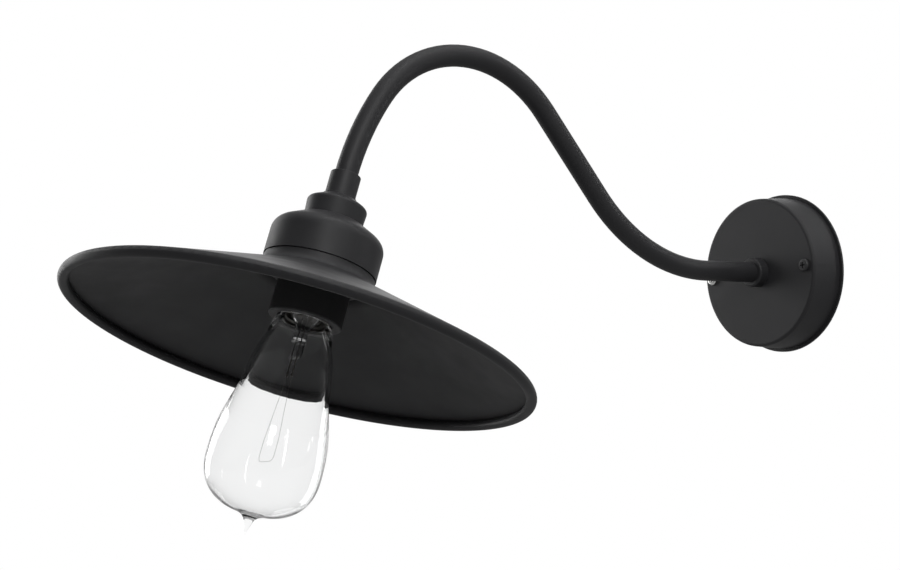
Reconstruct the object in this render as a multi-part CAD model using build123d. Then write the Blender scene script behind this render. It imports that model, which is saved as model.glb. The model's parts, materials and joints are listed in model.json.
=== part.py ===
"""Gooseneck wall sconce: a round wall canopy, a bent steel tube arm, a screw lampholder under a
turned cup, a shallow spun shade with a rolled rim, and a clear bulb that ends in a glass point.

Frame: millimetres, +Z up. The wall is the plane Y = 0 and the lamp stands out along -Y, with its
arm in the plane X = 0. The origin is midway between the wall bracket's two screw slots.
Pieces of the lamp head are turned about one leaning line, and their heights are measured along it,
up from the plane of the shade's rim.
"""
from build123d import *
from math import cos, pi, radians, sin, sqrt, tan
import os

os.makedirs("parts", exist_ok=True)

# ---------------------------------------------------------------- driving sizes (mm, degrees)
fit_gap = 0.05                      # radial play of turned and threaded fits
cut_past = 1.0                      # a cut runs this far beyond the face it opens
head_root = 0.2                     # a screw's shank runs this far into its head

# canopy: a pressed steel cup that covers the wall bracket
canopy_diameter = 102.0             # over the flange
canopy_flange_width = 2.1
canopy_flange_thickness = 1.4
canopy_taper = 1.4                  # radius lost from the flange to the face
canopy_depth = 23.6
canopy_sheet = 1.2
canopy_edge_radius = 2.0

# wall bracket: a joggled strap with two slots, two tapped ears and a cable hole
bracket_width = 20.0
bracket_sheet = 2.0
bracket_rise = 6.0                  # wall to the back of the ears
bracket_joggle = 2.4                # run of the joggle along the strap
bracket_end_gap = 1.0               # ear to the inside of the canopy
wall_screw_spacing = 60.0
wall_slot_width = 4.6
wall_slot_length = 9.0
cable_hole_diameter = 10.0

# canopy screws
canopy_screw_edge = 5.0             # screw to the end of the bracket's ear
canopy_screw_land = 2.9             # screw to the joggle
canopy_screw_diameter = 4.0
canopy_screw_hole_play = 0.4
canopy_screw_head_diameter = 7.6
canopy_screw_head_height = 2.3
canopy_screw_tail = 2.5             # thread behind the ear

# terminal block and earth screw on the bracket
block_width = 15.0
block_length = 21.0
block_ways = 3
block_gap = 3.2                     # cable hole to the block
block_headroom = 2.7                # block to the arm's lock nut
block_screw_diameter = 3.2
block_bore_diameter = 3.4
block_corner_radius = 1.0
block_screw_sink = 1.0              # screw tops below the block's face
block_screw_slot_depth = 0.7
earth_screw_offset = 15.0
earth_screw_diameter = 4.0
earth_screw_head_diameter = 8.0
earth_screw_head_height = 2.6
earth_tag_sheet = 0.8
earth_tag_neck = 0.6                # screw head to the barrel
earth_barrel_diameter = 3.0
earth_barrel_length = 3.6
earth_barrel_overlap = 0.5          # wire inside the barrel
earth_tag_turn = 225.0              # the tag points this way round the screw

# arm: one bent tube with a hub before the canopy's face and a lock nut behind it
tube_diameter = 12.7
tube_wall = 1.2
tube_spare = 3.0                    # tube beyond the lock nut
first_straight = 69.0               # wall to the first bend
rise_radius = 111.0
rise_angle = 52.0
slope_run = 61.0
crown_radius = 73.5
crown_angle = 103.6
drop_radius = 170.0
hub_wall = 2.95
hub_length = 7.0
hub_edge_radius = 1.4
lock_nut_wall = 3.15                # tube to a flat of the nut
lock_nut_height = 5.0
lock_washer_wall = 4.6
lock_washer_sheet = 1.2
lock_washer_teeth = 12

# bulb: screw base and clear glass
base_diameter = 26.2
base_sheet = 0.6
base_skirt_flare = 0.4
base_skirt_height = 2.0
base_length = 22.8
base_taper = 4.0
base_crown_radius = 1.0
insulator_diameter = 16.4
insulator_height = 2.3
insulator_lead_hole = 1.2
insulator_plug_depth = 2.0
insulator_plug_gap = 0.4            # plug to the base's inner wall
insulator_land = 0.2                # rim of the insulator beyond the tip contact
tip_contact_diameter = 9.6
tip_contact_height = 1.5
glass_wall = 0.8
glass_socket = 5.0                  # neck of the glass inside the base
glass_shoulder_diameter = 34.6
glass_shoulder_drop = 9.0           # below the foot of the base, as are the next two
glass_flank_drop = 47.5
glass_bulge_drop = 79.0
glass_flank_diameter = 51.6
glass_bulge_diameter = 60.8
glass_foot_depth = 31.0             # widest ring to the root of the point
pip_diameter = 4.2
pip_length = 6.4
stem_flare_height = 7.0
stem_flare_radius = 6.0
stem_tube_diameter = 8.0
stem_length = 26.0
stem_wall = 0.9
stem_floor = 2.0                    # solid glass above the pinch
pinch_width = 10.4
pinch_thickness = 3.2
pinch_length = 11.0
lead_diameter = 0.6
lead_spacing = 5.0
lead_drop = 8.0                     # lead below the pinch
lead_bend = 2.0
lead_start = 1.0                    # straight lead above the stem, before it turns aside
lead_rise = 8.0                     # side lead up the base from its skirt
clamp_diameter = 1.2
clamp_length = 2.4
filament_diameter = 0.16
filament_spread = 15.0
filament_length = 46.0
filament_tail = 3.0                 # straight wire below each clamp

# lampholder, sized outward from the bulb's base
thread_play = 0.5                   # bulb base to lamp shell, on the radius
lamp_shell_sheet = 0.6
lamp_shell_length = 20.5
lamp_shell_gap = 1.0
lamp_shell_lip = 0.3                # lip past the edge of the core's pocket
holder_wall = 4.6
holder_neck_wall = 1.6
holder_drop = 30.6                  # shade plate to the holder's mouth
holder_neck_length = 9.5            # shell above the shade plate
holder_flange_width = 4.7
holder_flange_thickness = 2.6
holder_edge_radius = 0.8
core_height = 13.0
core_pocket_diameter = 19.0
core_pocket_depth = 8.0
terminal_spacing = 22.0
terminal_plate_width = 7.0
terminal_plate_length = 8.0
terminal_plate_sheet = 0.8
terminal_screw_diameter = 3.5
terminal_screw_head_diameter = 6.4
terminal_screw_head_height = 1.7
terminal_screw_depth = 3.8
terminal_hole_spare = 0.2           # screw hole below the screw's end
tongue_width = 5.0
tongue_sheet = 0.5
tongue_drop = 7.6                   # pocket's ceiling to the underside of the tongue
tongue_nose = 2.2
tongue_dip = 0.6                    # depth of the nose
contact_gap = 0.3                   # tongue to the bulb's contact
holder_cap_wall = 2.2
holder_cap_slope = 1.5              # half the fall of the cap's crown
holder_cap_radius = 3.0
holder_cap_room = 6.0               # wiring room above the core
holder_cap_room_radius = 1.0
holder_boss_root_radius = 1.4
holder_boss_wall = 3.45
holder_boss_height = 4.7

# ring that clamps the shade's plate under the holder's flange
shade_ring_width = 6.2
shade_ring_height = 7.0
shade_ring_grooves = 24
shade_ring_groove_radius = 1.1
shade_ring_groove_length = 5.0

# shade
shade_diameter = 257.0
shade_sheet = 1.2
shade_slope = 20.4                  # of the cone, from the plane of the rim
shade_collar_height = 6.15
shade_collar_radius = 0.8
shade_neck_radius = 6.5             # fillet between the collar and the cone
rim_bead_diameter = 5.8

# cup over the holder, neck cap, nipple and sleeve
cup_room = 4.9                      # holder's flange to the cup
cup_overhang = 0.4                  # cup beyond the shade's collar
cup_sheet = 1.6
cup_top_slope = 30.0
cup_shoulder_radius = 8.0
cup_top_margin = 2.2                # flat top beyond the neck cap
nipple_diameter = 10.0
nipple_wall = 1.3
nipple_tail = 1.2                   # nipple above the ceiling of the wiring room
nipple_nut_wall = 2.0
nipple_nut_height = 2.5
neck_cap_foot_diameter = 32.0
neck_cap_flare = 0.7                # edge beyond the foot
neck_cap_wall_height = 10.2
neck_cap_cone_height = 4.2
neck_cap_edge_radius = 2.2
neck_bead_width = 1.0
neck_bead_height = 0.8
sleeve_wall = 2.05
sleeve_length = 13.2
sleeve_socket = 9.0                 # tube inside the sleeve
sleeve_edge_radius = 0.5
lamp_tilt = 20.5                    # lean of the lamp's line from the vertical

# wires inside the arm
wire_diameter = 2.0
wire_gap = 1.2                      # between the two cores
wire_strip = 3.0                    # wire inside the terminal block
wire_bend = 3.2
wire_holder_bend = 1.9

# ---------------------------------------------------------------- derived sizes
canopy_radius = canopy_diameter / 2
canopy_side_radius = canopy_radius - canopy_flange_width
canopy_face_radius = canopy_side_radius - canopy_taper
canopy_inside = canopy_depth - canopy_sheet
bracket_half = canopy_face_radius - canopy_sheet - bracket_end_gap
canopy_screw_at = bracket_half - canopy_screw_edge
bracket_front = bracket_rise + bracket_sheet
nut_front = canopy_inside - lock_washer_sheet
nut_back = nut_front - lock_nut_height
tube_tail = nut_back - tube_spare
block_height = nut_back - block_headroom - bracket_sheet
block_edge = cable_hole_diameter / 2 + block_gap
block_middle = -(block_edge + block_width / 2)
block_front = bracket_sheet + block_height
bore_level = bracket_sheet + 0.4 * block_height
block_pitch = block_length / block_ways
tube_radius = tube_diameter / 2
tube_fit = tube_radius + fit_gap
nipple_radius = nipple_diameter / 2
nipple_fit = nipple_radius + fit_gap
wire_radius = wire_diameter / 2
wire_offset = (wire_diameter + wire_gap) / 2

lamp_shell_radius = base_diameter / 2 + thread_play
lamp_shell_outer = lamp_shell_radius + lamp_shell_sheet
holder_mouth_radius = lamp_shell_outer + lamp_shell_gap
holder_radius = holder_mouth_radius + holder_wall
core_seat_radius = holder_radius - holder_neck_wall
flange_radius = holder_radius + holder_flange_width
sleeve_radius = tube_radius + sleeve_wall
cup_radius = flange_radius + cup_room + cup_sheet
collar_radius = cup_radius - cup_overhang

bead_radius = rim_bead_diameter / 2
bead_line = shade_diameter / 2 - bead_radius


def cone_height(radius, inset):
    """Height of the shade's cone; its outer side (inset 0) touches the top of the rim bead."""
    slope = radians(shade_slope)
    return bead_radius + (bead_radius - inset) / cos(slope) + (bead_line - radius) * tan(slope)


plate_top = cone_height(collar_radius, 0) + shade_collar_height
plate_under = plate_top - shade_sheet
flange_top = plate_top + holder_flange_thickness
mouth_height = plate_top - holder_drop
core_top = plate_top + holder_neck_length
core_bottom = core_top - core_height
plate_face = core_top + terminal_plate_sheet
pocket_ceiling = core_bottom + core_pocket_depth
room_ceiling = core_top + holder_cap_room
cap_crown = room_ceiling + holder_cap_wall
boss_top = cap_crown + holder_boss_height
cup_ceiling = boss_top + nipple_nut_height
cup_top = cup_ceiling + cup_sheet
neck_edge = cup_top + neck_cap_wall_height
neck_cone_top = neck_edge + neck_cap_cone_height
neck_top = neck_cone_top + neck_bead_height
sleeve_top = neck_top + sleeve_length
sleeve_floor = sleeve_top - sleeve_socket

contact_level = pocket_ceiling - tongue_drop
tip_top = contact_level - contact_gap
tip_bottom = tip_top - tip_contact_height
base_top = tip_bottom - insulator_height
base_foot = base_top - base_length
base_radius = base_diameter / 2
glass_neck_radius = base_radius - base_sheet - fit_gap
glass_top = base_foot + glass_socket
stem_foot = glass_top - stem_length


# ---------------------------------------------------------------- helpers
def turned(*corners):
    """Body turned about Z from (radius, height) corners; a third number rounds that corner."""
    profile = make_face(Polyline(*[(c[0], 0, c[1]) for c in corners], close=True))
    for radius, height, *rounding in corners:
        if rounding:
            corner = profile.vertices().sort_by_distance((radius, 0, height))[0]
            profile = fillet(corner, rounding[0])
    return revolve(profile, Axis.Z)


def rod(radius, bottom, top, x=0.0, y=0.0):
    """Round bar along Z between two heights."""
    return Pos(x, y, (bottom + top) / 2) * Cylinder(radius, top - bottom)


def hexagon(across_flats, bottom, top):
    """Hexagonal bar along Z."""
    face = RegularPolygon(across_flats / 2, 6, major_radius=False)
    return Pos(0, 0, bottom) * extrude(face, top - bottom)


def pan_head(diameter, height, bottom, x=0.0):
    """Screw head with a rounded crown and a cross recess, standing at height bottom."""
    head = turned((0, 0), (diameter / 2, 0), (diameter / 2, height, height * 0.55), (0, height))
    length = diameter * 0.52
    width = diameter * 0.13
    recess = Pos(0, 0, height) * (Box(length, width, height) + Box(width, length, height))
    return Pos(x, 0, bottom) * (head - recess)


def swept(route, *radii):
    """Round bar along a route; a second radius is its bore."""
    start = Plane(origin=route @ 0, z_dir=route % 0)
    bars = [sweep(start * Circle(radius), path=route) for radius in radii]
    return bars[0] if len(bars) == 1 else bars[0] - bars[1]


def from_wall(body):
    """Place a body drawn with Z out of the wall and Y up."""
    return Rot(90, 0, 0) * body


def wall_point(x, y, z):
    """A point drawn with Z out of the wall and Y up, in the part's frame."""
    return (x, -z, y)


def save(name, body):
    """Write one node: a plain solid, or a group of separate solids."""
    solids = body.solids()
    shape = solids[0] if len(solids) == 1 else Compound(children=list(solids))
    shape.label = name
    export_step(shape, f"parts/{name}.step")
    print(f"{name:24s} {len(solids)} solid(s) {sum(s.volume for s in solids):10.1f} mm3")


# ---------------------------------------------------------------- centre line of the arm
def bend(start, heading, radius, angle):
    """End point and heading after an arc in the arm's plane; a positive angle turns upward."""
    side = 1 if angle > 0 else -1
    before = radians(heading)
    after = radians(heading + angle)
    out = start[0] + side * radius * (sin(after) - sin(before))
    up = start[1] - side * radius * (cos(after) - cos(before))
    return (out, up), heading + angle


drop_angle = rise_angle + 90 - lamp_tilt - crown_angle
rise_start = (first_straight, 0.0)
rise_end, slope_heading = bend(rise_start, 0.0, rise_radius, rise_angle)
crown_start = (rise_end[0] + slope_run * cos(radians(rise_angle)),
               rise_end[1] + slope_run * sin(radians(rise_angle)))
crown_end, drop_heading = bend(crown_start, slope_heading, crown_radius, -crown_angle)
drop_end = bend(crown_end, drop_heading, drop_radius, -drop_angle)[0]

# the lamp's line runs on from the end of the last arc, which is at the mouth of the sleeve
rim_out = drop_end[0] + sleeve_top * sin(radians(lamp_tilt))
rim_up = drop_end[1] - sleeve_top * cos(radians(lamp_tilt))


def on_lamp(body):
    """Place a body drawn about the lamp's own line, with Z up it from the plane of the rim."""
    return Pos(0, -rim_out, rim_up) * Rot(-lamp_tilt, 0, 0) * body


def lamp_point(x, y, height):
    """A point drawn about the lamp's own line, in the part's frame."""
    lean = radians(lamp_tilt)
    return (x, -rim_out + y * cos(lean) + height * sin(lean), rim_up - y * sin(lean) + height * cos(lean))


def arm_edges(x, tail, foot):
    """The arm's line at sideways offset x, from depth tail to height foot on the lamp's line."""
    def at(point):
        return (x, -point[0], point[1])

    def arc(start, heading, radius, angle):
        middle = bend(start, heading, radius, angle / 2)[0]
        end = bend(start, heading, radius, angle)[0]
        return ThreePointArc(at(start), at(middle), at(end))

    return [
        Line(at((tail, 0)), at(rise_start)),
        arc(rise_start, 0.0, rise_radius, rise_angle),
        Line(at(rise_end), at(crown_start)),
        arc(crown_start, slope_heading, crown_radius, -crown_angle),
        arc(crown_end, drop_heading, drop_radius, -drop_angle),
        Line(at(drop_end), lamp_point(x, 0, foot)),
    ]


# ---------------------------------------------------------------- pieces at the wall
def canopy():
    inner_side = canopy_side_radius - canopy_sheet
    inner_face = canopy_face_radius - canopy_sheet
    inner_edge_radius = max(canopy_edge_radius - canopy_sheet, canopy_sheet / 6)
    cup = turned(
        (tube_fit, canopy_depth), (canopy_face_radius, canopy_depth, canopy_edge_radius),
        (canopy_side_radius, canopy_flange_thickness), (canopy_radius, canopy_flange_thickness),
        (canopy_radius, 0), (inner_side, 0), (inner_face, canopy_inside, inner_edge_radius),
        (tube_fit, canopy_inside))
    hole = (canopy_screw_diameter + canopy_screw_hole_play) / 2
    for side in (-1, 1):
        cup -= rod(hole, canopy_inside - cut_past, canopy_depth + cut_past, side * canopy_screw_at)
    return from_wall(cup)


def mounting_bracket():
    ear = canopy_screw_at - canopy_screw_land
    flat = ear - bracket_joggle
    slant = bracket_sheet * 0.3
    half = [(0, 0), (flat, 0), (ear, bracket_rise), (bracket_half, bracket_rise),
            (bracket_half, bracket_front), (ear - slant, bracket_front), (flat - slant, bracket_sheet),
            (0, bracket_sheet)]
    outline = half + [(-x, z) for x, z in reversed(half[1:-1])]
    face = make_face(Polyline(*[(x, 0, z) for x, z in outline], close=True))
    strap = extrude(face, amount=bracket_width / 2, both=True)
    ends = strap.edges().filter_by(Axis.Z).filter_by(lambda e: abs(e.center().X) > bracket_half - fit_gap)
    strap = fillet(ends, bracket_width * 0.3)
    slot = extrude(SlotOverall(wall_slot_length, wall_slot_width), bracket_front)
    screw_hole = canopy_screw_diameter / 2 + fit_gap
    for side in (-1, 1):
        strap -= Pos(side * wall_screw_spacing / 2, 0, -cut_past) * slot
        strap -= rod(screw_hole, -cut_past, bracket_front + cut_past, side * canopy_screw_at)
    strap -= rod(cable_hole_diameter / 2, -cut_past, bracket_front)
    strap -= rod(earth_screw_diameter / 2 + fit_gap, -cut_past, bracket_front, earth_screw_offset)
    return from_wall(strap)


def canopy_screws():
    group = []
    for side in (-1, 1):
        x = side * canopy_screw_at
        shank = rod(canopy_screw_diameter / 2, bracket_rise - canopy_screw_tail, canopy_depth + head_root, x)
        group.append(shank + pan_head(canopy_screw_head_diameter, canopy_screw_head_height, canopy_depth, x))
    return from_wall(Compound(children=group))


def block_way(way):
    """Height of one way of the terminal block above the block's middle."""
    return (way - (block_ways - 1) / 2) * block_pitch


def block_screw_places():
    """Middle of every screw of the terminal block."""
    offset = block_width / 4
    return [(block_middle + side * offset, block_way(way)) for way in range(block_ways) for side in (-1, 1)]


def terminal_block():
    block = Box(block_width, block_length, block_height)
    block = Pos(block_middle, 0, (bracket_sheet + block_front) / 2) * block
    block = fillet(block.edges().filter_by(Axis.Z), block_corner_radius)
    across = block_width + 2 * cut_past
    for way in range(block_ways):
        bore = Pos(block_middle, block_way(way), bore_level) * Rot(0, 90, 0)
        block -= bore * Cylinder(block_bore_diameter / 2, across)
    for x, y in block_screw_places():
        block -= rod(block_screw_diameter / 2 + fit_gap, bore_level, block_front + cut_past, x, y)
    for way in range(block_ways - 1):
        groove = Box(across, block_pitch * 0.14, block_height * 0.25)
        block -= Pos(block_middle, block_way(way + 0.5), block_front) * groove
    return from_wall(block)


def terminal_block_screws():
    foot = bore_level + wire_radius + fit_gap
    top = block_front - block_screw_sink
    slot = Box(block_screw_diameter + cut_past, block_screw_diameter * 0.22, 2 * block_screw_slot_depth)
    group = [rod(block_screw_diameter / 2, foot, top, x, y) - Pos(x, y, top) * slot
             for x, y in block_screw_places()]
    return from_wall(Compound(children=group))


def earth_screw():
    seat = bracket_sheet + earth_tag_sheet
    shank = rod(earth_screw_diameter / 2, 0, seat + head_root, earth_screw_offset)
    head = pan_head(earth_screw_head_diameter, earth_screw_head_height, seat, earth_screw_offset)
    return from_wall(shank + head)


def earth_wire():
    """Lead from the block's lowest way to a crimped ring tag under the earth screw."""
    rim = earth_screw_head_diameter / 2
    seat = bracket_sheet + earth_tag_sheet
    barrel_radius = earth_barrel_diameter / 2
    axis = bracket_sheet + barrel_radius
    start = rim + earth_tag_neck
    strap = start + earth_barrel_length / 2
    tag = rod(rim, bracket_sheet, seat)
    tag += Pos(strap / 2, 0, (bracket_sheet + seat) / 2) * Box(strap, rim * 0.7, earth_tag_sheet)
    tag -= rod(earth_screw_diameter / 2 + fit_gap, 0, seat + cut_past)
    tag += Pos(strap, 0, axis) * Rot(0, 90, 0) * Cylinder(barrel_radius, earth_barrel_length)
    turn = radians(earth_tag_turn)

    def along(distance):
        return (earth_screw_offset + distance * cos(turn), distance * sin(turn), axis)

    lowest = block_way(0)
    lead = FilletPolyline(
        along(start + earth_barrel_length - earth_barrel_overlap), along(lowest / sin(turn)),
        (0, lowest, bore_level), (-block_edge - wire_strip, lowest, bore_level), radius=wire_holder_bend)
    placed = Pos(earth_screw_offset, 0, 0) * Rot(0, 0, earth_tag_turn) * tag
    return from_wall(placed + swept(lead, wire_radius))


# ---------------------------------------------------------------- arm and its fastenings
def gooseneck_arm():
    return swept(Wire(arm_edges(0, tube_tail, sleeve_floor)), tube_radius, tube_radius - tube_wall)


def arm_hub():
    outer = tube_radius + hub_wall
    front = canopy_depth + hub_length
    return from_wall(turned(
        (tube_fit, canopy_depth), (outer, canopy_depth), (outer, front, hub_edge_radius), (tube_fit, front)))


def arm_lock_washer():
    outer = tube_radius + lock_washer_wall
    washer = rod(outer, nut_front, canopy_inside) - rod(tube_fit, 0, canopy_depth)
    notch = Box(lock_washer_wall * 0.6, outer * 0.13, canopy_depth)
    for tooth in range(lock_washer_teeth):
        washer -= Rot(0, 0, tooth * 360 / lock_washer_teeth) * Pos(outer, 0, canopy_inside) * notch
    return from_wall(washer)


def arm_lock_nut():
    nut = hexagon(tube_diameter + 2 * lock_nut_wall, nut_back, nut_front)
    return from_wall(nut - rod(tube_fit, 0, canopy_depth))


def arm_sleeve():
    return on_lamp(turned(
        (nipple_fit, neck_top), (sleeve_radius, neck_top), (sleeve_radius, sleeve_top, sleeve_edge_radius),
        (tube_fit, sleeve_top), (tube_fit, sleeve_floor), (nipple_fit, sleeve_floor)))


def threaded_nipple():
    foot = room_ceiling + nipple_tail
    return on_lamp(rod(nipple_radius, foot, sleeve_floor) - rod(nipple_radius - nipple_wall, 0, sleeve_top))


# ---------------------------------------------------------------- lamp head
def neck_cap():
    foot = neck_cap_foot_diameter / 2
    bead = sleeve_radius + neck_bead_width
    return on_lamp(turned(
        (nipple_fit, cup_top), (foot, cup_top), (foot + neck_cap_flare, neck_edge, neck_cap_edge_radius),
        (bead, neck_cone_top), (bead, neck_top, neck_bead_height * 0.45), (nipple_fit, neck_top)))


def holder_cup():
    flat = neck_cap_foot_diameter / 2 + cup_top_margin
    slope = radians(cup_top_slope)

    def outline(inset):
        """Flat top, sloping top, rounded shoulder and side of the cup, inset from its outer face."""
        radius = cup_radius - inset
        run = radius - flat
        rounding = min(cup_shoulder_radius - inset, 0.9 * run / cos(slope) / tan((pi / 2 - slope) / 2))
        shoulder = cup_top - inset - run * tan(slope)
        return [(flat, cup_top - inset), (radius, shoulder, rounding), (radius, plate_top)]

    return on_lamp(turned(
        (nipple_fit, cup_top), *outline(0), *reversed(outline(cup_sheet)), (nipple_fit, cup_ceiling)))


def nipple_lock_nut():
    nut = hexagon(nipple_diameter + 2 * nipple_nut_wall, boss_top, cup_ceiling)
    return on_lamp(nut - rod(nipple_fit, 0, cup_top))


def shade():
    """Spun cone with a stepped collar above and a bead rolled over a wire at the rim."""
    hole = holder_radius + fit_gap
    inner = collar_radius - shade_sheet
    cone = turned(
        (hole, plate_top), (collar_radius, plate_top, shade_collar_radius),
        (collar_radius, cone_height(collar_radius, 0), shade_neck_radius),
        (bead_line, cone_height(bead_line, 0)), (bead_line, cone_height(bead_line, shade_sheet)),
        (inner, cone_height(inner, shade_sheet), shade_neck_radius + shade_sheet),
        (inner, plate_under), (hole, plate_under))
    return on_lamp(cone + Pos(0, 0, bead_radius) * Torus(bead_line, bead_radius))


def shade_ring():
    bore = holder_radius + fit_gap
    outer = holder_radius + shade_ring_width
    foot = plate_under - shade_ring_height
    ring = turned((bore, foot), (outer, foot, holder_edge_radius), (outer, plate_under), (bore, plate_under))
    groove = Cylinder(shade_ring_groove_radius, 2 * shade_ring_groove_length)
    for step in range(shade_ring_grooves):
        ring -= Rot(0, 0, step * 360 / shade_ring_grooves) * Pos(outer, 0, foot) * groove
    return on_lamp(ring)


def lampholder_shell():
    return on_lamp(turned(
        (holder_mouth_radius, mouth_height), (holder_radius, mouth_height, holder_edge_radius),
        (holder_radius, plate_top), (flange_radius, plate_top),
        (flange_radius, flange_top, holder_edge_radius), (holder_radius, flange_top),
        (holder_radius, core_top), (core_seat_radius, core_top),
        (core_seat_radius, core_bottom), (holder_mouth_radius, core_bottom)))


def lampholder_core():
    core = rod(core_seat_radius - fit_gap, core_bottom, core_top)
    core -= rod(core_pocket_diameter / 2, core_bottom - cut_past, pocket_ceiling)
    hole_foot = core_top - terminal_screw_depth - terminal_hole_spare
    for side in (-1, 1):
        x = side * terminal_spacing / 2
        core -= rod(terminal_screw_diameter / 2 + fit_gap, hole_foot, core_top + cut_past, x)
    return on_lamp(core)


def lampholder_terminals():
    """Two brass plates on top of the core."""
    group = []
    for side in (-1, 1):
        x = side * terminal_spacing / 2
        plate = Pos(x, 0, (core_top + plate_face) / 2) * Box(
            terminal_plate_width, terminal_plate_length, terminal_plate_sheet)
        plate = fillet(plate.edges().filter_by(Axis.Z), terminal_plate_width * 0.15)
        hole = rod(terminal_screw_diameter / 2 + fit_gap, core_top - cut_past, plate_face + cut_past, x)
        group.append(plate - hole)
    return on_lamp(Compound(children=group))


def lampholder_screws():
    seat = plate_face + wire_diameter + 2 * fit_gap
    group = []
    for side in (-1, 1):
        x = side * terminal_spacing / 2
        shank = rod(terminal_screw_diameter / 2, core_top - terminal_screw_depth, seat + head_root, x)
        group.append(shank + pan_head(terminal_screw_head_diameter, terminal_screw_head_height, seat, x))
    return on_lamp(Compound(children=group))


def lampholder_cap():
    outer = holder_radius + holder_cap_wall
    seat = holder_radius + fit_gap
    boss = nipple_radius + holder_boss_wall
    return on_lamp(turned(
        (nipple_fit, boss_top), (boss, boss_top, holder_edge_radius),
        (boss, cap_crown + holder_cap_slope, holder_boss_root_radius),
        (outer, cap_crown - holder_cap_slope, holder_cap_radius), (outer, flange_top), (seat, flange_top),
        (seat, core_top), (core_seat_radius, core_top),
        (core_seat_radius, room_ceiling, holder_cap_room_radius), (nipple_fit, room_ceiling)))


def lamp_shell():
    """Brass shell that takes the bulb's base, with an inward lip riveted under the core."""
    lip = core_pocket_diameter / 2 - lamp_shell_lip
    foot = core_bottom - lamp_shell_length
    lip_under = core_bottom - lamp_shell_sheet
    return on_lamp(turned(
        (lamp_shell_radius, foot), (lamp_shell_outer, foot), (lamp_shell_outer, core_bottom),
        (lip, core_bottom), (lip, lip_under), (lamp_shell_radius, lip_under)))


def contact_tongue():
    """Sprung brass strip that leans from the pocket's ceiling down over the bulb's contact."""
    root = sqrt((core_pocket_diameter / 2) ** 2 - (tongue_width / 2) ** 2) - 4 * fit_gap
    ceiling = pocket_ceiling - fit_gap
    dip = contact_level + tongue_dip
    upper = [(root, ceiling), (tongue_nose, dip + tongue_sheet), (0, contact_level + tongue_sheet),
             (-tongue_nose, dip + tongue_sheet)]
    lower = [(-tongue_nose, dip), (0, contact_level), (tongue_nose, dip), (root, ceiling - 2 * tongue_sheet)]
    face = make_face(Polyline(*[(0, y, z) for y, z in upper + lower], close=True))
    return on_lamp(extrude(face, amount=tongue_width / 2, both=True))


def core_wire(side):
    """One insulated core from the terminal block through the tube and the nipple to its terminal."""
    x = side * wire_offset
    way = block_way(1 if side < 0 else block_ways - 1)
    inside_tube = tube_tail + 2 * wire_bend
    leave = room_ceiling + nipple_tail
    landing = plate_face + wire_radius + fit_gap
    screw = side * (terminal_spacing / 2 - terminal_screw_diameter / 2 - wire_radius / 2)
    corners = [wall_point(-block_edge - wire_strip, way, bore_level), wall_point(x, way, bore_level)]
    if way:
        corners.append(wall_point(x, 0, tube_tail))
    first = FilletPolyline(*corners, wall_point(x, 0, inside_tube), radius=wire_bend)
    last = FilletPolyline(
        lamp_point(x, 0, leave), lamp_point(x, 0, landing), lamp_point(screw, 0, landing),
        radius=wire_holder_bend)
    route = Wire([*first.edges(), *arm_edges(x, inside_tube, leave), *last.edges()])
    return swept(route, wire_radius)


# ---------------------------------------------------------------- bulb
def glass_outline():
    """Outer line of the glass: long side from shoulder to widest ring, then the round foot."""
    bulge = glass_bulge_diameter / 2
    widest = base_foot - glass_bulge_drop
    side_points = [
        (glass_neck_radius, 0, base_foot),
        (glass_shoulder_diameter / 2, 0, base_foot - glass_shoulder_drop),
        (glass_flank_diameter / 2, 0, base_foot - glass_flank_drop),
        (bulge, 0, widest),
    ]
    foot_points = [
        (bulge, 0, widest),
        (bulge * 0.75, 0, widest - glass_foot_depth * 0.64),
        (bulge * 0.41, 0, widest - glass_foot_depth * 0.81),
        (pip_diameter / 2, 0, widest - glass_foot_depth),
    ]
    return side_points, foot_points


def inset_points(curve, points, inset):
    """The curve's points moved square to it, towards the inside of the glass."""
    moved = []
    for point in points:
        along = curve.tangent_at(curve.param_at_point(point))
        moved.append((point[0] + along.Z * inset, 0, point[2] - along.X * inset))
    return moved


def bulb_glass():
    side_points, foot_points = glass_outline()
    side = Spline(*side_points, tangents=((1, 0, -0.25), (0, 0, -1)))
    foot = Spline(*foot_points, tangents=((0, 0, -1), (-0.3, 0, -1)))
    root = foot @ 1
    point_height = root.Z - pip_length
    point_radius = pip_diameter * 0.12
    point = Spline(root, (point_radius, 0, point_height), tangents=((-0.3, 0, -1), (0, 0, -1)))
    inner_side = inset_points(side, side_points[1:], glass_wall)
    inner_foot = inset_points(foot, foot_points[:3], glass_wall)
    floor = (0, 0, inner_foot[-1][2] - glass_foot_depth * 0.06)
    neck = glass_neck_radius - glass_wall
    face = make_face([
        Line((neck, 0, glass_top), (glass_neck_radius, 0, glass_top)),
        Line((glass_neck_radius, 0, glass_top), side @ 0), side, foot, point,
        Line((point_radius, 0, point_height), (0, 0, point_height)), Line((0, 0, point_height), floor),
        Spline(floor, *reversed(inner_foot), tangents=((1, 0, 0), (0, 0, 1))),
        Spline(*reversed(inner_side), (neck, 0, base_foot - glass_wall), tangents=((0, 0, 1), (-0.6, 0, 1))),
        Line((neck, 0, base_foot - glass_wall), (neck, 0, glass_top)),
    ])
    return on_lamp(revolve(face, Axis.Z))


def bulb_screw_base():
    skirt = base_radius + base_skirt_flare
    skirt_top = base_foot + base_skirt_height
    taper = base_top - base_taper
    cap = insulator_diameter / 2
    inner = base_radius - base_sheet
    return on_lamp(turned(
        (skirt - base_sheet, base_foot), (skirt, base_foot), (skirt, skirt_top),
        (base_radius, skirt_top + base_sheet), (base_radius, taper, base_crown_radius), (cap, base_top),
        (cap - base_sheet, base_top), (inner, taper - base_sheet / 2), (inner, skirt_top),
        (skirt - base_sheet, skirt_top)))


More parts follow.
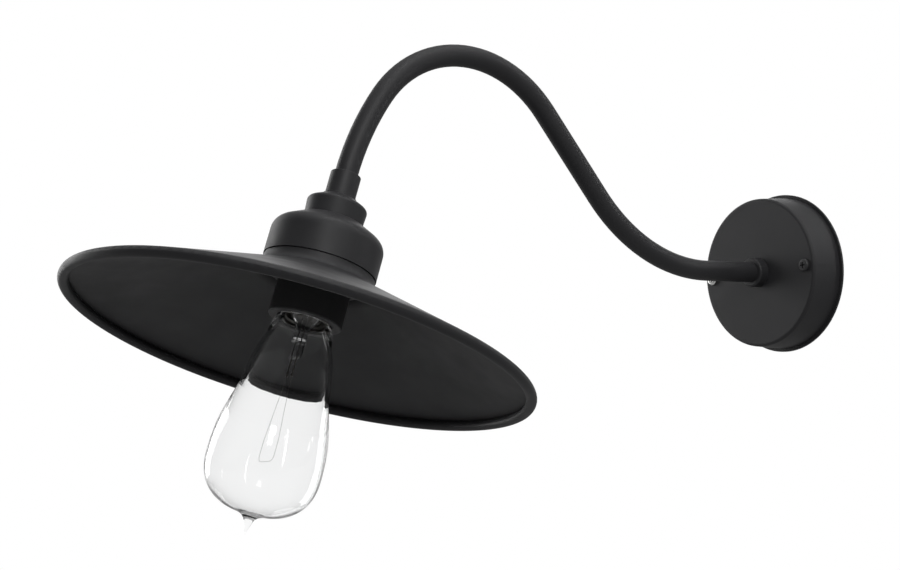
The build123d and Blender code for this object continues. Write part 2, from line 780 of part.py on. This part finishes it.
def bulb_insulator():
    cap = insulator_diameter / 2
    plug = cap - base_sheet - insulator_plug_gap
    plug_foot = base_top - insulator_plug_depth
    hole = insulator_lead_hole / 2
    land = tip_contact_diameter / 2 + insulator_land
    return on_lamp(turned(
        (hole, plug_foot), (plug, plug_foot), (plug, base_top), (cap, base_top), (land, tip_bottom),
        (hole, tip_bottom)))


def bulb_tip_contact():
    tip = tip_contact_diameter / 2
    crown = tip_contact_height * 0.8
    return on_lamp(turned((0, tip_bottom), (tip, tip_bottom), (tip, tip_top, crown), (0, tip_top)))


def bulb_stem():
    """Hollow flared glass stem, pinched flat round the two leads at its foot."""
    flare = glass_neck_radius - glass_wall - fit_gap
    tube = stem_tube_diameter / 2
    flare_foot = glass_top - stem_flare_height
    pinch_top = stem_foot + pinch_length
    floor = pinch_top - stem_floor
    body = turned(
        (flare - stem_wall, glass_top), (flare, glass_top), (tube, flare_foot, stem_flare_radius),
        (tube, floor), (0, floor), (0, pinch_top), (tube - stem_wall, pinch_top),
        (tube - stem_wall, flare_foot, stem_flare_radius))
    pinch = Pos(0, 0, stem_foot + pinch_length / 2) * Box(pinch_width, pinch_thickness, pinch_length)
    pinch = fillet(pinch.edges(), pinch_thickness * 0.35)
    stem = body + pinch
    for side in (-1, 1):
        x = side * lead_spacing / 2
        stem -= rod(lead_diameter / 2, stem_foot - cut_past, pinch_top + cut_past, x)
    return on_lamp(stem)


def bulb_leads():
    """Two wires through the pinch: one runs up to the tip contact, the other to the side of the base."""
    x = lead_spacing / 2
    foot = stem_foot - lead_drop
    side = base_radius - base_sheet - lead_diameter / 2 - 4 * fit_gap
    side_end = base_foot + 2 * base_skirt_height + lead_rise
    tip_lead = FilletPolyline(
        (x, 0, foot), (x, 0, glass_top), (0, 0, (glass_top + base_top) / 2), (0, 0, tip_bottom),
        radius=lead_bend)
    side_lead = FilletPolyline(
        (-x, 0, foot), (-x, 0, glass_top + lead_start), (-side, 0, side_end), radius=lead_bend)
    leads = [swept(route, lead_diameter / 2) for route in (tip_lead, side_lead)]
    return on_lamp(Compound(children=leads))


def filament_clamps():
    """Crimped sleeves that join the leads to the ends of the filament."""
    top = stem_foot - lead_drop
    return on_lamp(Compound(children=[
        rod(clamp_diameter / 2, top - clamp_length, top, side * lead_spacing / 2) for side in (-1, 1)]))


def bulb_filament():
    """Hairpin of thin wire that hangs from the two leads and turns in a wide loop at its foot."""
    top = stem_foot - lead_drop - clamp_length
    x = lead_spacing / 2
    loop = filament_spread / 2
    low = top - filament_length
    turn = top - filament_tail
    route = FilletPolyline(
        (-x, 0, top), (-x, 0, turn), (-loop, 0, low + loop * 1.6), (-loop, 0, low), (loop, 0, low),
        (loop, 0, low + loop * 1.6), (x, 0, turn), (x, 0, top), radius=loop * 0.45)
    return on_lamp(swept(route, filament_diameter / 2))


# ---------------------------------------------------------------- write every node
nodes = {
    "mounting_bracket": mounting_bracket,
    "canopy": canopy,
    "canopy_screws": canopy_screws,
    "terminal_block": terminal_block,
    "terminal_block_screws": terminal_block_screws,
    "earth_screw": earth_screw,
    "earth_wire": earth_wire,
    "gooseneck_arm": gooseneck_arm,
    "arm_hub": arm_hub,
    "arm_lock_washer": arm_lock_washer,
    "arm_lock_nut": arm_lock_nut,
    "arm_sleeve": arm_sleeve,
    "threaded_nipple": threaded_nipple,
    "neck_cap": neck_cap,
    "holder_cup": holder_cup,
    "nipple_lock_nut": nipple_lock_nut,
    "shade": shade,
    "shade_ring": shade_ring,
    "lampholder_shell": lampholder_shell,
    "lampholder_core": lampholder_core,
    "lampholder_cap": lampholder_cap,
    "lampholder_terminals": lampholder_terminals,
    "lampholder_screws": lampholder_screws,
    "lamp_shell": lamp_shell,
    "contact_tongue": contact_tongue,
    "live_wire": lambda: core_wire(1),
    "neutral_wire": lambda: core_wire(-1),
    "bulb_glass": bulb_glass,
    "bulb_screw_base": bulb_screw_base,
    "bulb_insulator": bulb_insulator,
    "bulb_tip_contact": bulb_tip_contact,
    "bulb_stem": bulb_stem,
    "bulb_leads": bulb_leads,
    "filament_clamps": filament_clamps,
    "bulb_filament": bulb_filament,
}

for name, make in nodes.items():
    save(name, make())
print(f"rim centre {rim_out:.2f} mm from the wall, {rim_up:.2f} mm above the origin")
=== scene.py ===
"""Looks of the gooseneck wall sconce: finishes, screw thread, pale studio, lights and camera.

Everything is in metres in the part's own frame: the wall is the plane Y = 0, +Z is up and the lamp stands out
along -Y. The bulb's screw base is drawn about the lamp's own line with Z up it, and that line comes from the
joint on which the bulb turns.
"""
import json
import math

import bpy
from mathutils import Matrix, Vector


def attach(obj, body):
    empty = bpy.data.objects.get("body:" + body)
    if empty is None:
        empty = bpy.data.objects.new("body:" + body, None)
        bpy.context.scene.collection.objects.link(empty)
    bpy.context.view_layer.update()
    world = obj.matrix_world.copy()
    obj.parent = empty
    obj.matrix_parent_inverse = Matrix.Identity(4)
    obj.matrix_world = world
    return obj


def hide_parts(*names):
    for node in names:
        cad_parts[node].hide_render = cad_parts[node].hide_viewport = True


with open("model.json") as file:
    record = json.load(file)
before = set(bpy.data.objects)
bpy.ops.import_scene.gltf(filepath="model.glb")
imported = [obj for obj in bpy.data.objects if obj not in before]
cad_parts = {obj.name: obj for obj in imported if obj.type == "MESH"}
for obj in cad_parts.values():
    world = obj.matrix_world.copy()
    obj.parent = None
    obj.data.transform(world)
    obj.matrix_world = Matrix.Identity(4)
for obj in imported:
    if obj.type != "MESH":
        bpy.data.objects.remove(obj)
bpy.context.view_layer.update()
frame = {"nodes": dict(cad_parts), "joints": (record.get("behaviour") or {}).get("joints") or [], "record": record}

nodes = frame["nodes"]
joints = {joint["name"]: joint for joint in frame["joints"]}

# ---------------------------------------------------------------- driving values (metres, degrees)
# camera of the photograph, found from the outlines of arm, shade, cup, canopy and bulb
CAMERA_PLACE = (0.78364, -0.84534, -0.11316)
CAMERA_AZIMUTH = 53.69              # from the wall's normal round to +X
CAMERA_ELEVATION = -5.86            # the camera looks up a little
CAMERA_ROLL = -2.77
CAMERA_LENS_MM = 69.91
SENSOR_MM = 36.0
NEAREST_SEEN = 0.01
FARTHEST_SEEN = 60.0

# studio
FLOOR_LEVEL = -2.2
FLOOR_HALF = 20.0
FLOOR_TONES = (0.50, 0.54)
FLOOR_SEEN_LEVEL = 0.85             # what the floor adds to its own colour where the camera sees it
STUDIO_CENTRE = Vector((0.0, -0.28, 0.0))
AMBIENT_LEVEL = 0.60
SEEN_LEVEL = 1.0                    # white to the camera
FRONT_LEVEL = 0.08                  # what a reflection of the room before the lamp shows
BACKDROP_LEVEL = 0.68               # and one of the backdrop behind it
BACKDROP_REACH = 0.8                # cosine of the angle from the backdrop's middle at which it is all bright

# name, azimuth to the right of the camera's, elevation, distance, width, height, watts
LIGHTS = (
    ("front", 12, 28, 1.6, 0.25, 0.25, 9.0),
    ("key_strip", 41, 42, 1.5, 0.06, 2.8, 9.0),
    ("right_strip", 96, 42, 1.3, 0.06, 2.4, 7.0),
    ("left_board", -128, 12, 1.4, 0.6, 1.2, 8.5),
    ("back", 180, 24, 1.8, 1.6, 0.6, 4.5),
    ("top", 0, 85, 1.3, 1.2, 1.2, 4.0),
)

# screw base of the bulb
THREAD_PITCH = 0.00363
THREAD_DEPTH = 0.00085
THREAD_FADE = 0.0016
THREAD_START = 0.0034               # above the base's foot
THREAD_OVERRUN = 0.0006             # past the foot of the cone
THREAD_ROWS_PER_PITCH = 10
THREAD_SIDES = 96
BASE_SHEET = 0.0003
SKIRT_HEIGHT = 0.0022
SKIRT_STEP = 0.0004
CONE_HEIGHT = 0.0040
CONE_CURVE = 1.4

# fractal noise lies mostly between these two values
NOISE_LOW = 0.3
NOISE_HIGH = 0.7

# relief of a finish: depth in metres, strength
POWDER_PEEL = (0.00006, 0.16)
POWDER_GRAIN = (0.00003, 0.12)
METAL_GRAIN = (0.00003, 0.3)
MOULD_GRAIN = (0.00003, 0.3)
MOULD_FLOW = (0.00008, 0.15)
GLASS_WAVES = (0.0002, 0.2)
SCREW_PEEL = (0.00006, 0.3)

# glass
GLASS_TINT = (0.982, 0.984, 0.984, 1.0)
GLASS_IOR = 1.10                    # low, so that the thin walls hardly bend the view
GLASS_COAT = 0.6
GLASS_COAT_ROUGHNESS = 0.01
GLASS_COAT_IOR = 1.5

# canopy screws: both are the same steel, and the dark, matte colour of the one at +X is painted shade
SCREW_BRIGHT = (0.70, 0.70, 0.69)
# painted shade: the dark, matte, non-metal colour given to the screw at +X
SCREW_PAINTED_SHADE = (0.012, 0.012, 0.013)
SCREW_BRIGHT_ROUGHNESS = 0.22
SCREW_PAINTED_SHADE_ROUGHNESS = 0.50
SCREW_SPLIT = 0.001                 # the looks change over this far each side of X = 0, where no screw is

# the bulb's line: a point on it, and the way up it
lamp_point = Vector(joints["bulb_turn"]["pos_m"])
lamp_up = -Vector(joints["bulb_turn"]["axis"]).normalized()
lamp_side = Vector((1.0, 0.0, 0.0))
lamp_front = lamp_up.cross(lamp_side)
lamp_frame = Matrix((lamp_side, lamp_front, lamp_up)).transposed().to_4x4()
lamp_frame.translation = lamp_point


def lamp_extent(node):
    """(lowest height, highest height, largest radius) of a CAD node about the lamp's line."""
    local = lamp_frame.inverted()
    points = [local @ vertex.co for vertex in nodes[node].data.vertices]
    heights = [point.z for point in points]
    return min(heights), max(heights), max(math.hypot(point.x, point.y) for point in points)


# ---------------------------------------------------------------- materials
def new_material(name):
    """A material with an untouched Principled shader; returns it with its node tree and shader."""
    material = bpy.data.materials.new(name)
    material.use_nodes = True
    tree = material.node_tree
    tree.nodes.clear()
    shader = tree.nodes.new("ShaderNodeBsdfPrincipled")
    output = tree.nodes.new("ShaderNodeOutputMaterial")
    tree.links.new(shader.outputs["BSDF"], output.inputs["Surface"])
    return material, tree, shader


def object_place(tree, stretch=(1.0, 1.0, 1.0)):
    """Place on the piece, in metres, stretched."""
    place = tree.nodes.new("ShaderNodeTexCoord")
    mapping = tree.nodes.new("ShaderNodeMapping")
    mapping.inputs["Scale"].default_value = stretch
    tree.links.new(place.outputs["Object"], mapping.inputs["Vector"])
    return mapping.outputs["Vector"]


def noise(tree, vector, per_metre, detail, roughness=0.5):
    """Fractal noise from 0 to 1, with so many features per metre."""
    texture = tree.nodes.new("ShaderNodeTexNoise")
    texture.inputs["Scale"].default_value = per_metre
    texture.inputs["Detail"].default_value = detail
    texture.inputs["Roughness"].default_value = roughness
    tree.links.new(vector, texture.inputs["Vector"])
    return texture.outputs["Fac"]


def ranged(tree, value, low, high, start=NOISE_LOW, end=NOISE_HIGH):
    """The value from start to end carried over to low to high."""
    node = tree.nodes.new("ShaderNodeMapRange")
    node.inputs["From Min"].default_value = start
    node.inputs["From Max"].default_value = end
    node.inputs["To Min"].default_value = low
    node.inputs["To Max"].default_value = high
    tree.links.new(value, node.inputs["Value"])
    return node.outputs["Result"]


def blended(tree, factor, first, second):
    """Colour between two, by a factor."""
    mix = tree.nodes.new("ShaderNodeMix")
    mix.data_type = "RGBA"
    mix.inputs["A"].default_value = (*first, 1.0)
    mix.inputs["B"].default_value = (*second, 1.0)
    tree.links.new(factor, mix.inputs["Factor"])
    return mix.outputs["Result"]


def bumped(tree, shader, *layers):
    """Relief from layers of a height and its (depth, strength), one bump over the other."""
    normal = None
    for height, (depth, strength) in layers:
        bump = tree.nodes.new("ShaderNodeBump")
        bump.inputs["Distance"].default_value = depth
        bump.inputs["Strength"].default_value = strength
        tree.links.new(height, bump.inputs["Height"])
        if normal is not None:
            tree.links.new(normal, bump.inputs["Normal"])
        normal = bump.outputs["Normal"]
    tree.links.new(normal, shader.inputs["Normal"])


def powder_coat(name, dark, light, gloss, specular):
    """Satin powder coat: fine orange peel and grain, and uneven colour and roughness."""
    material, tree, shader = new_material(name)
    place = object_place(tree)
    broad = noise(tree, place, per_metre=45.0, detail=4.0)
    peel = noise(tree, place, per_metre=900.0, detail=2.0)
    grain = noise(tree, place, per_metre=3200.0, detail=2.0)
    tree.links.new(blended(tree, broad, dark, light), shader.inputs["Base Color"])
    tree.links.new(ranged(tree, broad, *gloss), shader.inputs["Roughness"])
    shader.inputs["Specular IOR Level"].default_value = specular
    bumped(tree, shader, (peel, POWDER_PEEL), (grain, POWDER_GRAIN))
    return material


def plated_steel(name, dark, light, gloss):
    """Plated or bare metal with patches of colour, and fine uneven roughness and relief."""
    material, tree, shader = new_material(name)
    patches = noise(tree, object_place(tree), per_metre=120.0, detail=5.0)
    grain = noise(tree, object_place(tree), per_metre=900.0, detail=4.0, roughness=0.65)
    tree.links.new(blended(tree, patches, dark, light), shader.inputs["Base Color"])
    tree.links.new(ranged(tree, grain, *gloss), shader.inputs["Roughness"])
    shader.inputs["Metallic"].default_value = 1.0
    bumped(tree, shader, (grain, METAL_GRAIN))
    return material


def moulded(name, dark, light, gloss, specular=0.5):
    """Moulded plastic or glazed ceramic with a faint grain and flow marks along Z."""
    material, tree, shader = new_material(name)
    flow = noise(tree, object_place(tree, stretch=(1.0, 1.0, 0.25)), per_metre=70.0, detail=4.0)
    grain = noise(tree, object_place(tree), per_metre=2200.0, detail=2.0)
    tree.links.new(blended(tree, flow, dark, light), shader.inputs["Base Color"])
    tree.links.new(ranged(tree, flow, *gloss), shader.inputs["Roughness"])
    shader.inputs["Specular IOR Level"].default_value = specular
    bumped(tree, shader, (grain, MOULD_GRAIN), (flow, MOULD_FLOW))
    return material


def clear_glass(name):
    """Thin clear blown glass: its coat mirrors the studio, and its two faces hardly bend the view."""
    material, tree, shader = new_material(name)
    waves = noise(tree, object_place(tree, stretch=(1.0, 1.0, 0.35)), per_metre=60.0, detail=1.0)
    shader.inputs["Base Color"].default_value = GLASS_TINT
    shader.inputs["Roughness"].default_value = 0.0
    shader.inputs["IOR"].default_value = GLASS_IOR
    shader.inputs["Transmission Weight"].default_value = 1.0
    shader.inputs["Coat Weight"].default_value = GLASS_COAT
    shader.inputs["Coat Roughness"].default_value = GLASS_COAT_ROUGHNESS
    shader.inputs["Coat IOR"].default_value = GLASS_COAT_IOR
    bumped(tree, shader, (waves, GLASS_WAVES))
    return material


def canopy_screw_finish(name):
    """The screw at -X is bright steel, and the one at +X gets a dark, matte colour that is painted shade."""
    material, tree, shader = new_material(name)
    place = object_place(tree)
    parts = tree.nodes.new("ShaderNodeSeparateXYZ")
    tree.links.new(place, parts.inputs["Vector"])
    # mask of the painted shade: 1 on the screw at +X, 0 on the bright screw at -X
    painted_shade = ranged(tree, parts.outputs["X"], 0.0, 1.0, start=-SCREW_SPLIT, end=SCREW_SPLIT)
    bright = ranged(tree, parts.outputs["X"], 1.0, 0.0, start=-SCREW_SPLIT, end=SCREW_SPLIT)
    roughness = ranged(tree, painted_shade, SCREW_BRIGHT_ROUGHNESS, SCREW_PAINTED_SHADE_ROUGHNESS, start=0.0, end=1.0)
    peel = noise(tree, place, per_metre=900.0, detail=2.0)
    grain = noise(tree, place, per_metre=500.0, detail=4.0, roughness=0.65)
    tree.links.new(blended(tree, painted_shade, SCREW_BRIGHT, SCREW_PAINTED_SHADE), shader.inputs["Base Color"])
    tree.links.new(bright, shader.inputs["Metallic"])
    tree.links.new(roughness, shader.inputs["Roughness"])
    bumped(tree, shader, (peel, SCREW_PEEL), (grain, METAL_GRAIN))
    return material


# material slot of the record: maker, darker and lighter colour, (lowest, highest) roughness, specular level
FINISHES = {
    "powder_black": (powder_coat, (0.0130, 0.0130, 0.0142), (0.0180, 0.0178, 0.0192), (0.47, 0.57), 0.25),
    "plated_steel": (plated_steel, (0.42, 0.42, 0.40), (0.60, 0.60, 0.57), (0.28, 0.48)),
    "screw_steel": (plated_steel, (0.62, 0.62, 0.62), (0.78, 0.78, 0.77), (0.14, 0.30)),
    "block_white": (moulded, (0.70, 0.69, 0.65), (0.80, 0.79, 0.76), (0.32, 0.46)),
    "wire_brown": (moulded, (0.13, 0.05, 0.025), (0.18, 0.075, 0.035), (0.36, 0.50)),
    "wire_blue": (moulded, (0.03, 0.10, 0.40), (0.04, 0.14, 0.50), (0.36, 0.50)),
    "wire_green": (moulded, (0.05, 0.26, 0.05), (0.08, 0.36, 0.07), (0.36, 0.50)),
    "holder_black": (moulded, (0.022, 0.022, 0.023), (0.028, 0.028, 0.029), (0.49, 0.63), 0.25),
    "core_white": (moulded, (0.66, 0.63, 0.57), (0.78, 0.76, 0.71), (0.16, 0.30)),
    "brass": (plated_steel, (0.52, 0.35, 0.13), (0.70, 0.50, 0.22), (0.22, 0.38)),
    "clear_glass": (clear_glass,),
    "base_nickel": (plated_steel, (0.16, 0.155, 0.145), (0.30, 0.29, 0.27), (0.28, 0.44)),
    "insulator_black": (moulded, (0.010, 0.010, 0.010), (0.022, 0.020, 0.020), (0.09, 0.23)),
    "filament_dark": (plated_steel, (0.10, 0.095, 0.09), (0.18, 0.17, 0.16), (0.35, 0.5)),
}
finishes = {slot: maker(slot, *values) for slot, (maker, *values) in FINISHES.items()}


def dress(piece, slot):
    """Give a piece the finish of a material slot of the record."""
    piece.data.materials.clear()
    piece.data.materials.append(finishes[slot])


for row in frame["record"]["subparts"]:
    dress(nodes[row["node"]], row["material_slot"])
# this finish paints shade on the canopy screw at +X
nodes["canopy_screws"].data.materials[0] = canopy_screw_finish("canopy_screws")


# ---------------------------------------------------------------- screw base of the bulb
def thread_wave(angle, height):
    """0 at a crest of a right-hand thread to 1 at its root."""
    return 0.5 - 0.5 * math.cos(angle - 2 * math.pi * height / THREAD_PITCH)


def eased(value):
    """0 to 1 as the value goes from 0 to 1, with no sudden start or end."""
    value = min(max(value, 0.0), 1.0)
    return value * value * (3 - 2 * value)


def threaded_tube(name, low, high, outline, thread_low, thread_high):
    """Sheet tube about the lamp's line whose outer radius is outline(height), with a rolled thread between
    two heights."""
    rows = round((high - low) / THREAD_PITCH * THREAD_ROWS_PER_PITCH)
    heights = [low + (high - low) * row / rows for row in range(rows + 1)]
    points = []
    for inset in (0.0, BASE_SHEET):
        for height in heights:
            share = eased((height - thread_low) / THREAD_FADE) * eased((thread_high - height) / THREAD_FADE)
            for side in range(THREAD_SIDES):
                angle = 2 * math.pi * side / THREAD_SIDES
                radius = outline(height) - inset - THREAD_DEPTH * share * thread_wave(angle, height)
                points.append((radius * math.cos(angle), radius * math.sin(angle), height))
    skin = (rows + 1) * THREAD_SIDES

    def corner(layer, row, side):
        return layer * skin + row * THREAD_SIDES + side % THREAD_SIDES

    faces = []
    for side in range(THREAD_SIDES):
        for row in range(rows):
            faces.append((corner(0, row, side), corner(0, row, side + 1),
                          corner(0, row + 1, side + 1), corner(0, row + 1, side)))
            faces.append((corner(1, row, side), corner(1, row + 1, side),
                          corner(1, row + 1, side + 1), corner(1, row, side + 1)))
        faces.append((corner(0, 0, side), corner(1, 0, side), corner(1, 0, side + 1), corner(0, 0, side + 1)))
        faces.append((corner(0, rows, side), corner(0, rows, side + 1),
                      corner(1, rows, side + 1), corner(1, rows, side)))
    mesh = bpy.data.meshes.new(name)
    mesh.from_pydata(points, [], faces)
    mesh.transform(lamp_frame)
    mesh.shade_smooth()
    mesh.update()
    piece = bpy.data.objects.new(name, mesh)
    bpy.context.scene.collection.objects.link(piece)
    return piece


def bulb_base():
    """The bulb's screw base: flared skirt, rolled thread and a cone up to the insulator."""
    low, high, skirt_radius = lamp_extent("bulb_screw_base")
    insulator_radius = lamp_extent("bulb_insulator")[2]

    def outline(height):
        from_foot = height - low
        if from_foot < SKIRT_HEIGHT:
            return skirt_radius
        shell_radius = skirt_radius - SKIRT_STEP * eased((from_foot - SKIRT_HEIGHT) / SKIRT_STEP)
        cone = max(0.0, (height - (high - CONE_HEIGHT)) / CONE_HEIGHT)
        return shell_radius - (shell_radius - insulator_radius) * cone ** CONE_CURVE

    thread_high = high - CONE_HEIGHT + THREAD_OVERRUN
    piece = threaded_tube("bulb_thread", low, high, outline, low + THREAD_START, thread_high)
    dress(piece, "base_nickel")
    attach(piece, "bulb")
    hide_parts("bulb_screw_base")


bulb_base()


# ---------------------------------------------------------------- studio, lights and camera
def outward(azimuth, elevation):
    """Direction out from the object, at an azimuth from the wall's normal round to +X and an elevation."""
    turn = math.radians(azimuth)
    lift = math.radians(elevation)
    return Vector((math.sin(turn) * math.cos(lift), -math.cos(turn) * math.cos(lift), math.sin(lift)))


def ray_is(tree, *kinds):
    """1 for rays of any of these kinds, and 0 for others."""
    path = tree.nodes.new("ShaderNodeLightPath")
    total = path.outputs[kinds[0]]
    for kind in kinds[1:]:
        larger = tree.nodes.new("ShaderNodeMath")
        larger.operation = "MAXIMUM"
        tree.links.new(total, larger.inputs[0])
        tree.links.new(path.outputs[kind], larger.inputs[1])
        total = larger.outputs[0]
    return total


def straight_view(tree):
    """1 for rays from the camera, straight or through glass, that nothing has mirrored, and 0 for others."""
    path = tree.nodes.new("ShaderNodeLightPath")
    unmirrored = tree.nodes.new("ShaderNodeMath")
    unmirrored.operation = "LESS_THAN"
    unmirrored.inputs[1].default_value = 0.5
    tree.links.new(path.outputs["Glossy Depth"], unmirrored.inputs[0])
    both = tree.nodes.new("ShaderNodeMath")
    both.operation = "MULTIPLY"
    tree.links.new(ray_is(tree, "Is Camera Ray", "Is Transmission Ray"), both.inputs[0])
    tree.links.new(unmirrored.outputs[0], both.inputs[1])
    return both.outputs[0]


def mirrored_level(tree):
    """How bright the studio is in a reflection: pale behind the lamp, dark in front."""
    direction = tree.nodes.new("ShaderNodeTexCoord")
    along = tree.nodes.new("ShaderNodeVectorMath")
    along.operation = "DOT_PRODUCT"
    turn = math.radians(CAMERA_AZIMUTH)
    along.inputs[1].default_value = (-math.sin(turn), math.cos(turn), 0.0)
    tree.links.new(direction.outputs["Generated"], along.inputs[0])
    return ranged(tree, along.outputs["Value"], FRONT_LEVEL, BACKDROP_LEVEL, start=0.0, end=BACKDROP_REACH)


def background(tree):
    """A white background; its strength is still to be set."""
    layer = tree.nodes.new("ShaderNodeBackground")
    layer.inputs["Color"].default_value = (1.0, 1.0, 1.0, 1.0)
    return layer


def either(tree, factor, first, second):
    """The first shader where the factor is 0, and the second where it is 1."""
    mix = tree.nodes.new("ShaderNodeMixShader")
    tree.links.new(factor, mix.inputs["Fac"])
    tree.links.new(first.outputs[0], mix.inputs[1])
    tree.links.new(second.outputs[0], mix.inputs[2])
    return mix


def pale_world():
    """White to the camera and through glass, a pale backdrop in reflections, and plain grey light."""
    world = bpy.data.worlds.new("studio")
    bpy.context.scene.world = world
    world.use_nodes = True
    tree = world.node_tree
    tree.nodes.clear()
    output = tree.nodes.new("ShaderNodeOutputWorld")
    light = background(tree)
    light.inputs["Strength"].default_value = AMBIENT_LEVEL
    reflected = background(tree)
    tree.links.new(mirrored_level(tree), reflected.inputs["Strength"])
    seen = background(tree)
    seen.inputs["Strength"].default_value = SEEN_LEVEL
    mirrored = either(tree, ray_is(tree, "Is Glossy Ray", "Is Transmission Ray"), light, reflected)
    shown = either(tree, straight_view(tree), mirrored, seen)
    tree.links.new(shown.outputs["Shader"], output.inputs["Surface"])


def floor():
    """Pale floor that keeps the object's shadow and looks nearly white to the camera."""
    mesh = bpy.data.meshes.new("studio_floor")
    corners = [(x * FLOOR_HALF, y * FLOOR_HALF, FLOOR_LEVEL) for x, y in ((-1, -1), (1, -1), (1, 1), (-1, 1))]
    mesh.from_pydata(corners, [], [(0, 1, 2, 3)])
    piece = bpy.data.objects.new("studio_floor", mesh)
    bpy.context.scene.collection.objects.link(piece)
    material, tree, shader = new_material("pale_floor")
    tone = noise(tree, object_place(tree), per_metre=6.0, detail=3.0)
    dark, light = [(level, level, level) for level in FLOOR_TONES]
    tree.links.new(blended(tree, tone, dark, light), shader.inputs["Base Color"])
    shader.inputs["Roughness"].default_value = 0.9
    shader.inputs["Specular IOR Level"].default_value = 0.1
    shader.inputs["Emission Color"].default_value = (1.0, 1.0, 1.0, 1.0)
    glow = ranged(tree, straight_view(tree), 0.0, FLOOR_SEEN_LEVEL, start=0.0, end=1.0)
    tree.links.new(glow, shader.inputs["Emission Strength"])
    mesh.materials.append(material)


def soft_light(name, azimuth, elevation, distance, width, height, watts):
    """Area light that faces the middle of the object, and that the camera doesn't see."""
    data = bpy.data.lights.new(name, "AREA")
    data.shape = "RECTANGLE"
    data.size = width
    data.size_y = height
    data.energy = watts
    lamp = bpy.data.objects.new(name, data)
    bpy.context.scene.collection.objects.link(lamp)
    away = outward(azimuth, elevation)
    lamp.location = STUDIO_CENTRE + away * distance
    lamp.rotation_euler = away.to_track_quat("Z", "Y").to_euler()
    lamp.visible_camera = False


def camera():
    """The photograph's camera."""
    turn = math.radians(CAMERA_AZIMUTH)
    roll = math.radians(CAMERA_ROLL)
    back = outward(CAMERA_AZIMUTH, CAMERA_ELEVATION)
    level_right = Vector((math.cos(turn), math.sin(turn), 0.0))
    level_up = back.cross(level_right)
    right = math.cos(roll) * level_right + math.sin(roll) * level_up
    up = -math.sin(roll) * level_right + math.cos(roll) * level_up
    data = bpy.data.cameras.new("photo_camera")
    data.lens = CAMERA_LENS_MM
    data.sensor_width = SENSOR_MM
    data.clip_start = NEAREST_SEEN
    data.clip_end = FARTHEST_SEEN
    seat = bpy.data.objects.new("photo_camera", data)
    place = Matrix((right, up, back)).transposed().to_4x4()
    place.translation = Vector(CAMERA_PLACE)
    seat.matrix_world = place
    bpy.context.scene.collection.objects.link(seat)
    bpy.context.scene.camera = seat


pale_world()
floor()
for name, beside_camera, *values in LIGHTS:
    soft_light(name, CAMERA_AZIMUTH + beside_camera, *values)
camera()
bpy.context.scene.view_settings.view_transform = "Standard"
